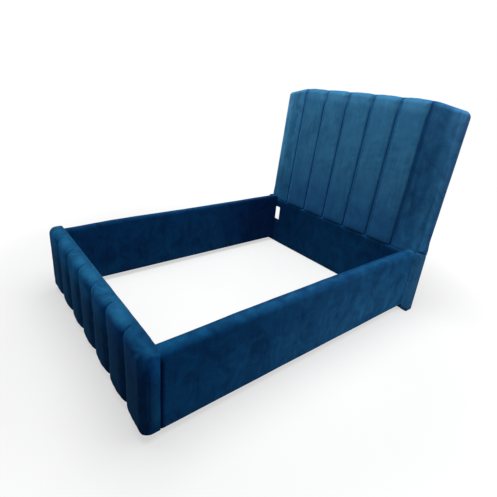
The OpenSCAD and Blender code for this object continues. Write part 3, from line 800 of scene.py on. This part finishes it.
def plate(name, xs, zs, keep, front, back, parts=(), place=lambda x, y, z: (x, y, z)):
    """A plate on a grid of cells. keep says which cells are filled, parts divide its thickness.

    place turns a grid point, with its depth between front and back, into a point of the bed."""
    depths = (0.0, *parts, 1.0)
    last = len(depths) - 1
    index = {}
    verts = []

    def at(i, j, layer):
        key = (i, j, layer)
        if key not in index:
            index[key] = len(verts)
            x, z = xs[i], zs[j]
            y = front(x, z) + (back(x, z) - front(x, z)) * depths[layer]
            verts.append(place(x, y, z))
        return index[key]

    cells = {(i, j) for i in range(len(xs) - 1) for j in range(len(zs) - 1)
             if keep((xs[i] + xs[i + 1]) / 2, (zs[j] + zs[j + 1]) / 2)}
    faces = []
    for i, j in sorted(cells):
        quad = [(i, j), (i + 1, j), (i + 1, j + 1), (i, j + 1)]
        faces.append([at(a, b, 0) for a, b in quad])
        faces.append([at(a, b, last) for a, b in reversed(quad)])
        for (da, db), (p, q) in (((0, -1), (0, 1)), ((1, 0), (1, 2)), ((0, 1), (2, 3)), ((-1, 0), (3, 0))):
            if (i + da, j + db) in cells:
                continue
            for k in range(last):
                faces.append([at(*quad[p], k), at(*quad[p], k + 1), at(*quad[q], k + 1), at(*quad[q], k)])
    return new_object(name, verts, faces)


def soft_grid(edges, step, r):
    """Grid values between and round the given edges, with close lines beside each."""
    out = []
    edges = sorted(edges)
    for a, b in zip(edges, edges[1:]):
        if b - a < 4 * r:
            n = max(1, round((b - a) / (step / 2)))
            out.extend(steps(a, b, n)[:-1])
            continue
        near = [0.0, 0.12 * r, 0.4 * r, r]
        n = max(1, round((b - a - 2 * r) / step))
        inner = steps(a + r, b - r, n)
        out.extend([a + d for d in near[:-1]] + inner + [b - d for d in reversed(near[1:-1])])
    out.append(edges[-1])
    return out


def in_window(x, z):
    return abs(x) > WIN_X0 and WIN_Z0 < z < WIN_Z1


def lower_pad(material):
    """Plain padded panel inside the bed, with its two windows."""
    x1 = LEG_X0 - FIT
    r = 9.0
    xs = soft_grid([-x1, -BLOCK_X0 + FIT, -WIN_X0, WIN_X0, BLOCK_X0 - FIT, x1], PLATE_STEP, 9)
    zs = soft_grid([GLIDE_H, BLOCK_Z0 - FIT, BLOCK_Z1 + FIT, WIN_Z0, WIN_Z1, LOW_TOP], PLATE_STEP, 5)
    half = (LOW_TOP - GLIDE_H) / 2

    def keep(x, z):
        block = abs(x) > BLOCK_X0 - FIT and BLOCK_Z0 - FIT < z < BLOCK_Z1 + FIT
        return not (in_window(x, z) or block)

    def front(x, z):
        crown = PAD_CROWN * ((z - GLIDE_H) / half - 1) ** 2
        d = z - GLIDE_H
        if WIN_Z0 <= z <= WIN_Z1:
            d = min(d, max(0.0, WIN_X0 - abs(x)))
        if abs(x) > WIN_X0 and not WIN_Z0 < z < WIN_Z1:
            d = min(d, abs(z - WIN_Z0), abs(z - WIN_Z1))
        return HL + crown + max(rounding(d, r), rounding(LOW_TOP - z, PAD_TOP_R))

    obj = plate("lower_pad", xs, zs, keep, front, lambda x, z: HL + HEAD_FOAM, PLATE_PARTS)
    for v in obj.data.vertices:
        if v.co.z > (LOW_TOP - 0.1) / 1000:
            v.co.z += (HEAD_T - v.co.y * 1000 - Y_MID + HL) * math.sin(LEAN) / 1000
    smooth(obj)
    ripple(obj, 1.4, (0.22, 0.22, 0.16), 21, calm(8 - WIN_X0, WIN_X0 - 8, 26.0))
    finish_pad(obj, "headboard_lower_pad", material)


def leg_cover(mirror, material):
    """Padded sleeve on a leg, closed over its top, with a rounded shoulder."""
    side = "left" if mirror else "right"
    x0 = LEG_X0 + FIT
    r = 7.0
    shoulder = LEG_SHOULDER_R
    ceiling = LEG_TOP - LEG_PAD + FIT
    wall = LEG_OUT - LEG_PAD + FIT

    def section(y, hollow):
        d = max(0.0, min(y, HEAD_T - y))
        out = LEG_OUT - rounding(d, r)
        top = LEG_TOP - rounding(d, 5.0)
        outer = [(x, top) for x in (x0, x0 + 1, x0 + 4, (x0 + out - shoulder) / 2)]
        outer += arc(out - shoulder, top - shoulder, shoulder, 90, 0, 7)
        outer += [(out, z) for z in steps(top - shoulder, GLIDE_H + 3, 38)][1:]
        outer += [(out, GLIDE_H + 1), (out, GLIDE_H)]
        if hollow:
            inner = [(x, ceiling) for x in (x0, x0 + 1, x0 + 4, x0 + (wall - x0) / 2)]
            inner += [(x0 + (wall - x0) * (k + 1) / 8, ceiling) for k in range(4, 8)]
            inner += [(wall, z) for z in steps(ceiling, GLIDE_H, len(outer) - len(inner))][1:]
        else:
            inner = [(x0, z) for z in steps(top - 1, GLIDE_H, len(outer) - 1)]
        return [(x, HL + y, z) for x, z in outer], [(x, HL + y, z) for x, z in inner]

    depth = [0.0, 0.3, 0.9, 2.0, 3.6, LEG_SKIN - FIT - 0.2]
    columns = [section(y, False) for y in depth]
    hollow = [LEG_SKIN - FIT + 0.1, 9.0] + steps(17, HEAD_T - 17, 5) + [HEAD_T - 9.0]
    hollow.append(HEAD_T - LEG_SKIN + FIT - 0.1)
    columns += [section(y, True) for y in hollow]
    columns += [section(HEAD_T - y, False) for y in reversed(depth)]
    obj = loft("%s_leg_cover" % side, columns, (0.06, 0.2, 0.5, 0.8, 0.94), mirror)
    smooth(obj)
    ripple(obj, 0.8, (0.10, 0.10, 0.14), 31 if mirror else 32)
    finish_pad(obj, "headboard_%s_leg_cover" % side, material)


# Footboard padding

FOOT_ROWS = 40
FOOT_ROLL_R = 40.0
FOOT_INNER_R = 9.0
FOOT_BULGE = 6.5
FOOT_SINK = 9.0
FOOT_DIP = (5.0, 10.0)


def foot_section(x, out, sink, fall, back, core_top, solid):
    """One upright slice of a footboard channel. sink is how far its top dips, most at the outer edge."""
    face = FOOT_Y0 - FOOT_PAD - out
    yi = -HL
    top = FOOT_TOP - fall
    rb = FOOT_PAD - 1
    rt = min(FOOT_ROLL_R, (yi - face) * 0.6)
    fore = arc(face + rb, FOOT_BOTTOM + rb, rb, 270, 180, 4)
    fore += [(face, z) for z in steps(FOOT_BOTTOM + rb, top - rt, FOOT_ROWS)][1:-1]
    fore += arc(face + rt, top - rt, rt, 180, 90, 10)
    mid = (face + rt + yi - FOOT_INNER_R) / 2
    fore.append((mid, top))
    rear = arc(yi - FOOT_INNER_R, top - FOOT_INNER_R, FOOT_INNER_R, 90, 0, 4)
    if not solid:
        rear.append((yi, core_top))
    rear += [(back, z) for z in steps(core_top, FOOT_BOTTOM, len(fore) - len(rear) - 2)]
    rear.reverse()
    rear.append((mid + 1, top))

    def dipped(y, z):
        high = min(1.0, max(0.0, (z - top + rt) / rt))
        across = 1 - ease((y - face - 10) / (yi - face - 34))
        over = (z - 468) / 12 if abs(x) < HW - 12 else (z - RAIL_TOP - 3) / 8
        inward = FOOT_BULGE * ease(over) * ease((y - yi + 12) / 12)
        return (x, y + inward, z - sink * high * across)

    return [dipped(y, z) for y, z in fore], [dipped(y, z) if z > core_top else (x, y, z) for y, z in rear]


def foot_swell(t):
    """Swell across a footboard channel, softer at its grooves than a headboard channel."""
    return max(0.0, 1 - abs(2 * t - 1) ** 2.3) ** 0.72


def foot_channel(i, material):
    low, high = i > 1, i < FOOT_CHANNELS
    x0 = -FOOT_HALF + (i - 1) * FOOT_PITCH + (FIT if low else 0)
    x1 = -FOOT_HALF + i * FOOT_PITCH - (FIT if high else 0)
    xs = cosine_steps(x0, x1, CHANNEL_COLUMNS)
    if not low:
        xs = end_stations(x0, 1) + [x for x in xs if x > x0 + FOOT_END_R + 4]
    if not high:
        xs = [x for x in xs if x < x1 - FOOT_END_R - 4] + list(reversed(end_stations(x1, -1)))
    columns = []
    for x in xs:
        t = (x - x0) / (x1 - x0)
        sewn = (t < 0.5 and low) or (t >= 0.5 and high)
        s = foot_swell(t) if sewn else 1.0
        dip = groove_dip(min(x - x0, x1 - x), *FOOT_DIP) if sewn else 0.0
        draw = rounding(FOOT_HALF - abs(x), FOOT_END_R)
        solid = abs(x) > FOOT_CORE_X
        columns.append(foot_section(x, FOOT_LOBE * s - draw - dip, FOOT_SINK * (1 - s) + dip, draw * END_FALL,
                                    -HL if solid else FOOT_Y0 - FIT,
                                    (FOOT_CORE_Z1 - 6 - draw * END_FALL) if solid else FOOT_CORE_Z1 + FIT,
                                    solid))
    obj = loft("foot_channel_%d" % i, columns, SIDE_PARTS)
    inflate(obj)
    smooth(obj)
    ripple(obj, 1.2, (0.09, 0.09, 0.14), 40 + i, calm(x0 - (0 if low else 30), x1 + (0 if high else 30)))
    finish_pad(obj, "footboard_channel_%d" % i, material)


def end_stations(x0, sign):
    """Positions that follow the rounded end of the footboard, with the core's end between two."""
    out = [x0 + sign * FOOT_END_R * (1 - math.cos(math.radians(90 * k / 12))) for k in range(13)]
    core = x0 + sign * FOOT_END_R / 2
    out = [x for x in out if abs(x - core) > 1.5]
    out += [core - sign * FIT, core + sign * FIT]
    return sorted(out, reverse=sign < 0)


def inner_pad(material):
    """Plain padding on the inner face of the footboard."""
    x1 = FOOT_CORE_X
    bx = BLOCK_X0 - FIT
    xs = soft_grid([-x1, -bx, bx, x1], PLATE_STEP, 6)
    zs = soft_grid([FOOT_BOTTOM, BLOCK_Z0 + 4.5, BLOCK_Z1 + FIT, FOOT_CORE_Z1], PLATE_STEP, 3)

    def keep(x, z):
        return not (abs(x) > bx and BLOCK_Z0 + 4.5 < z < BLOCK_Z1 + FIT)

    def back(x, z):
        return -HL - rounding(z - FOOT_BOTTOM, 8.0) * 0.6

    obj = plate("inner_pad", xs, zs, keep, lambda x, z: FOOT_Y1 + FIT, back, PLATE_PARTS)
    smooth(obj)
    ripple(obj, 0.5, (0.2, 0.2, 0.14), 51)
    finish_pad(obj, "footboard_inner_pad", material)


# Side rails

RAIL_ROWS = 26
RAIL_COLUMNS = 124
CREVICE_DEPTH = 17.0
CREVICE_FLAT = 3.0
CREVICE_END = 20.0


def rail_outline():
    """Outer and inner rows of points round a rail's section, side by side."""
    w = (RAIL_T - 2 * RAIL_CROWN) / 2
    h = RAIL_TOP - RAIL_BOTTOM
    a, b, c = RAIL_LOW_R, RAIL_TOP_R, RAIL_INNER_R
    bx = RAIL_BOARD_T / 2 + FIT
    bz0 = RAIL_PAD_Z - FIT
    bz1 = h - RAIL_PAD_Z + FIT
    outer = []
    inner = []

    def add(points, hold):
        for k, p in enumerate(points):
            outer.append(p)
            t = k / max(1, len(points) - 1)
            inner.append(tuple(u + (v - u) * t for u, v in zip(*hold)))

    add([(w - a, 0)] + arc(w - a, a, a, 270, 360, 4)[1:], ((bx * 0.6, bz0), (bx, bz0 + 2)))
    add([(w, z) for z in steps(a, h - b, RAIL_ROWS)][1:], ((bx, bz0 + 8), (bx, bz1 - 8)))
    add(arc(w - b, h - b, b, 0, 90, 9)[1:], ((bx, bz1 - 2), (bx * 0.6, bz1)))
    add([(x, h) for x in steps(w - b, -w + c, 5)][1:-1], ((bx * 0.3, bz1), (-bx * 0.3, bz1)))
    add(arc(-w + c, h - c, c, 90, 180, 8), ((-bx * 0.6, bz1), (-bx, bz1 - 2)))
    add([(-w, z) for z in steps(h - c, a, RAIL_ROWS)][1:], ((-bx, bz1 - 8), (-bx, bz0 + 8)))
    add(arc(-w + a, a, a, 180, 270, 4)[1:], ((-bx, bz0 + 2), (-bx * 0.6, bz0)))
    add([(x, 0) for x in steps(-w + a, w - a, 4)][1:-1], ((-bx * 0.4, bz0), (bx * 0.4, bz0)))
    crown = [(x * (1 + RAIL_CROWN * (1 - (2 * z / h - 1) ** 2) / w), z) for x, z in outer]
    return crown, inner


def crevice(d):
    """How far the outer face of a rail is drawn in at a distance d from the footboard."""
    if d <= CREVICE_FLAT:
        return CREVICE_DEPTH + (CREVICE_FLAT - d) / 3
    return CREVICE_DEPTH * max(0.0, (CREVICE_END - d) / (CREVICE_END - CREVICE_FLAT)) ** 1.6


def top_lift(s, mirror):
    """How the height of a hand-padded rail top wanders along its length, s from the footboard."""
    if mirror:
        return -10 + 12 * (1 - math.exp(-(s / 260) ** 2)) - 3.5 * math.sin(math.pi * min(1, s / HL / 2)) ** 2
    return -7 + 13 * (1 - math.exp(-(s / 480) ** 2)) - 3 * max(0.0, s / HL / 2 - 0.5)


def rail_cover(mirror, material):
    side = "left" if mirror else "right"
    outer, inner = rail_outline()
    n = len(outer)
    h = RAIL_TOP - RAIL_BOTTOM
    end = HL - FIT
    near = [0.0, 0.5, 1.8, 3.2, 5, 7.5, 10.5, 14, RAIL_END_R]
    ys = [-end + d for d in near] + steps(-end + 30, end - 30, RAIL_COLUMNS)
    ys += [end - d for d in reversed(near)]
    verts = []
    for y in ys:
        d = end - abs(y)
        lift = top_lift(y + end, mirror)
        soft = rounding(d, 5.0) * 0.6
        flat = ease((y - end + 80) / 70)
        for x, z in outer:
            draw = crevice(d) * (1 - 0.75 * ease((z - h + 62) / 34)) if y < 0 else 0.0
            x += (math.copysign(RAIL_T / 2, x) - x) * flat * ease((abs(x) - 34) / 4)
            px = RAIL_X + (min(x, RAIL_OUT - RAIL_X - draw) if x > 0 else x)
            rise = (lift - soft) * ease((z - h + 110) / 90)
            verts.append((px, y, RAIL_BOTTOM + z + rise))
        verts += [(RAIL_X + x, y, RAIL_BOTTOM + z) for x, z in inner]
    faces = []
    m = 2 * n
    for k in range(len(ys) - 1):
        for j in range(n):
            a, b = k * m + j, k * m + (j + 1) % n
            faces.append((a, b, b + m, a + m))
            faces.append((b + n, a + n, a + n + m, b + n + m))
    for k in (0, len(ys) - 1):
        for j in range(n):
            a, b = k * m + j, k * m + (j + 1) % n
            faces.append((a, b, b + n, a + n))
    obj = new_object("%s_rail_padding" % side, verts, faces, mirror)
    smooth(obj)
    seed = 61 if mirror else 62
    ripple(obj, 1.6, (0.30, 0.34, 0.15), seed, lambda p: 1.0 if p.z > (RAIL_BOTTOM + 1) / 1000 else 0.3)
    ripple(obj, 1.1, (0.07, 0.10, 0.06), seed + 4, lambda p: ease((p.z * 1000 - RAIL_TOP + 70) / 50))
    finish_pad(obj, "%s_rail_cover" % side, material)


# Linings

def upper_lining(material):
    """Lining over the back of the upper headboard, with a turned edge."""
    xs = steps(-LEG_X0, LEG_X0, 60)
    top = UP_H - CORE_DROP
    hs = steps(0.5, top, 44)

    def height(x, h):
        return 0.5 + (crest(x) - CORE_DROP - 0.5) * (h - 0.5) / (top - 0.5)

    def back(x, h):
        d = min(LEG_X0 - abs(x), height(x, h) - 0.5, crest(x) - CORE_DROP - height(x, h))
        return HEAD_T - 0.4 - rounding(d, 2.4) * 0.8

    obj = plate("upper_lining", xs, hs, lambda x, h: True, lambda x, h: HEAD_T - BACK_T, back,
                place=lambda x, t, h: lean(x, t, height(x, h)))
    wrinkle_back(obj, 71)
    finish_sheet(obj, ["headboard_upper_back"], material)


def wrinkle_back(obj, seed):
    """Slight waves on the outer face of the lining only."""
    mesh = obj.data
    normals = [v.normal.copy() for v in mesh.vertices]
    for v, nrm in zip(mesh.vertices, normals):
        if nrm.y < 0.7:
            continue
        p = Vector((v.co.x / 0.20 + seed, v.co.y, v.co.z / 0.34))
        v.co += nrm * 0.0007 * (noise.noise(p) - 0.4)


def lower_lining(material):
    """Lining boards over the back of the lower headboard, with its two windows."""
    x1 = LEG_X0 - FIT
    xs = soft_grid([-x1, -WIN_X0, WIN_X0, x1], 26, 2.5)
    top = LOW_TOP + 0.8
    zs = soft_grid([GLIDE_H, WIN_Z0, WIN_Z1, top], 24, 2.5)

    def back(x, z):
        d = min(x1 - abs(x), z - GLIDE_H, top - z)
        return HL + HEAD_T - 0.4 - rounding(max(0.0, d), 2.4) * 0.8

    obj = plate("lower_lining", xs, zs, lambda x, z: not in_window(x, z),
                lambda x, z: HL + HEAD_T - BACK_T, back)
    wrinkle_back(obj, 72)
    finish_sheet(obj, ["headboard_lower_back"], material)


WINDOW_FROM = 10.0


def window_lining(mirror, material):
    """Velvet turned through a window of the headboard. Its ends meet halfway up the leg."""
    side = "left" if mirror else "right"
    thick, r = 1.4, 8.0
    x0, x1 = WIN_X0 + 0.2, LEG_X0 - FIT
    z0, z1 = WIN_Z0 + 0.2, WIN_Z1 - 0.2
    middle = (z0 + z1) / 2

    corners = ((x1 - r, z0 + r, 360, 1), (x0 + r, z0 + r, 270, 10), (x0 + r, z1 - r, 180, 14),
               (x1 - r, z1 - r, 90, 10))

    def row(inset):
        out = [(x1 - inset, z) for z in steps(middle - FIT, z0 + r, 6)][:-1]
        for x, z, turn, n in corners:
            bend = arc(x, z, r - inset, turn, turn - 90, 6)
            out += rung(out[-1], bend[0], steps(0, 1, n)[1:-1]) + bend
        return out + [(x1 - inset, z) for z in steps(z1 - r, middle + FIT, 6)][1:]

    depth = HEAD_T - BACK_T - FIT - WINDOW_FROM
    columns = [[[(x, y, z) for x, z in row(inset)] for inset in (0.0, thick)]
               for y in steps(HL + WINDOW_FROM, HL + WINDOW_FROM + depth, 5)]
    obj = loft("%s_window_lining" % side, columns, (0.5,), mirror)
    finish_sheet(obj, [], material)


# Materials of the pieces carried over from the frame

def dress_frame():
    """Picks each piece's material by the end of its name."""
    across, along, upright = [timber_material("timber_" + "xyz"[axis], axis) for axis in range(3)]
    finishes = ((("top_rail", "middle_rail", "bottom_rail", "footboard_core"), across),
                ("_rail_board", along), ("_board", timber_material("plywood", 0)),
                (("leg", "stile", "studs", "blocks", "packers"), upright),
                (("bolts", "nuts", "plates", "screws"), steel_material()),
                (("glides", "feet"), plastic_material()))
    for name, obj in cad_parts.items():
        found = next((m for tails, m in finishes if name.endswith(tails)), None)
        if obj.type == "MESH" and found:
            for s in obj.material_slots:
                s.material = found


# Stage

CAMERA_AT = (1.92300, -1.60420, 1.55341)
CAMERA_TURN = (67.7204, -4.4581, 52.7585)
CAMERA_LENS = 27.1008
CAMERA_SHIFT = (0.017729, -0.032663)


def add_camera():
    data = bpy.data.cameras.new("camera")
    data.sensor_width = 36.0
    data.lens = CAMERA_LENS
    data.shift_x, data.shift_y = CAMERA_SHIFT
    cam = bpy.data.objects.new("camera", data)
    cam.location = CAMERA_AT
    cam.rotation_euler = [math.radians(a) for a in CAMERA_TURN]
    bpy.context.scene.collection.objects.link(cam)
    bpy.context.scene.camera = cam


def area_light(name, at, target, size, power):
    data = bpy.data.lights.new(name, "AREA")
    data.shape = "RECTANGLE"
    data.size, data.size_y = size
    data.energy = power
    obj = bpy.data.objects.new(name, data)
    obj.location = at
    obj.rotation_euler = (Vector(target) - Vector(at)).to_track_quat("-Z", "Y").to_euler()
    bpy.context.scene.collection.objects.link(obj)


FLOOR_FULL = 2.2
FLOOR_GONE = 4.4
FLOOR_BOUNCE = 0.30
WORLD_LIGHT = 0.26


def mix_shader(tree, fac, a, b):
    return node(tree, "MixShader", {0: fac, 1: a, 2: b}).outputs[0]


def add_floor():
    """Plain pale floor that fades into the white background away from the bed.

    The camera sees it paler than the light it gives back, so that its shadow stays soft."""
    bpy.ops.mesh.primitive_plane_add(size=12, location=(0, 0, 0))
    floor = bpy.context.object
    floor.name = "floor"
    mat, tree, shader, obj = node_material("floor")
    cloud = noise_of(tree, obj, 0.8, 3, 0.5)
    bounce = ramp(tree, cloud, [(0.3, FLOOR_BOUNCE), (0.7, FLOOR_BOUNCE + 0.02)])
    set_inputs(tree, shader, {"Base Color": bounce, "Roughness": 0.9, "Specular IOR Level": 0.1})
    flat = mapped(tree, obj, (1, 1, 0))
    away = node(tree, "VectorMath", {0: flat}, operation="LENGTH").outputs["Value"]
    paint = node(tree, "BsdfDiffuse", {"Color": ramp(tree, cloud, [(0.3, 0.24), (0.7, 0.26)])})
    glow = node(tree, "Emission", {"Strength": span(tree, away, 1.3, 3.2, 0.58, 0.9)})
    seen = node(tree, "AddShader", {0: paint.outputs[0], 1: glow.outputs[0]})
    path = node(tree, "LightPath", {})
    both = mix_shader(tree, path.outputs["Is Camera Ray"], shader.outputs[0], seen.outputs[0])
    clear = node(tree, "BsdfTransparent", {})
    whole = mix_shader(tree, span(tree, away, FLOOR_FULL, FLOOR_GONE), both, clear.outputs[0])
    tree.links.new(whole, tree.nodes["Material Output"].inputs["Surface"])
    floor.data.materials.append(mat)


def add_world():
    """White behind the object for the camera, softer light for everything else."""
    world = bpy.data.worlds.new("studio")
    bpy.context.scene.world = world
    world.use_nodes = True
    tree = world.node_tree
    back = tree.nodes["Background"]
    set_inputs(tree, back, {"Color": (0.93, 0.96, 1.0, 1), "Strength": WORLD_LIGHT})
    white = node(tree, "Background", {"Color": (1, 1, 1, 1), "Strength": 1.0})
    path = node(tree, "LightPath", {}).outputs
    seen = maths(tree, "MAXIMUM", path["Is Camera Ray"], path["Is Glossy Ray"])
    seen = maths(tree, "MAXIMUM", seen, path["Is Transmission Ray"])
    tree.links.new(mix_shader(tree, seen, back.outputs[0], white.outputs[0]),
                   tree.nodes["World Output"].inputs["Surface"])


def add_stage():
    add_camera()
    add_floor()
    add_world()
    area_light("key", (0.2, -0.1, 3.4), (0, 0.3, 0.2), (3.0, 3.0), 200)
    area_light("fill", (2.9, 2.3, 1.8), (0.8, 0.6, 0.4), (1.8, 1.8), 42)
    bpy.context.scene.view_settings.view_transform = "Standard"


# Lit and shaded copies of one velvet: each row's tone is set for the light its pieces take, and the panel, in
# the bed's well, is painted darkest as shade.
VELVETS = (
    ("channel", (0.0128, 0.0634, 0.130), 0.16, 0.35, 0.5, channel_light_paint),
    ("wing", (0.0070, 0.0427, 0.099), 0.3, 0.55, 0.42, wing_light_paint),
    ("leg", (0.0098, 0.0580, 0.134), 0.2, 0.4, 0.42, leg_light_paint),
    ("panel", (0.0008, 0.0165, 0.056), 0.3, 0.2, 0.06, panel_shade_paint),
    ("rail", (0.0030, 0.0380, 0.108), 0.38, 0.35, 0.25, rail_light_paint),
    ("foot", (0.0034, 0.0400, 0.105), 0.3, 0.4, 0.13, foot_light_paint))


def build():
    add_stage()
    velvets = [velvet_material("velvet_" + name, *row) for name, *row in VELVETS]
    channel, turned, leg, panel, rail, foot = velvets
    for i in range(1, HEAD_CHANNELS + 1):
        head_channel(i, channel)
    for mirror in (True, False):
        wing(mirror, turned)
        leg_cover(mirror, leg)
        rail_cover(mirror, rail)
    lower_pad(panel)
    for i in range(1, FOOT_CHANNELS + 1):
        foot_channel(i, foot)
    inner_pad(panel)
    for mirror in (True, False):
        window_lining(mirror, panel)
    lining = lining_material()
    upper_lining(lining)
    lower_lining(lining)
    dress_frame()


build()
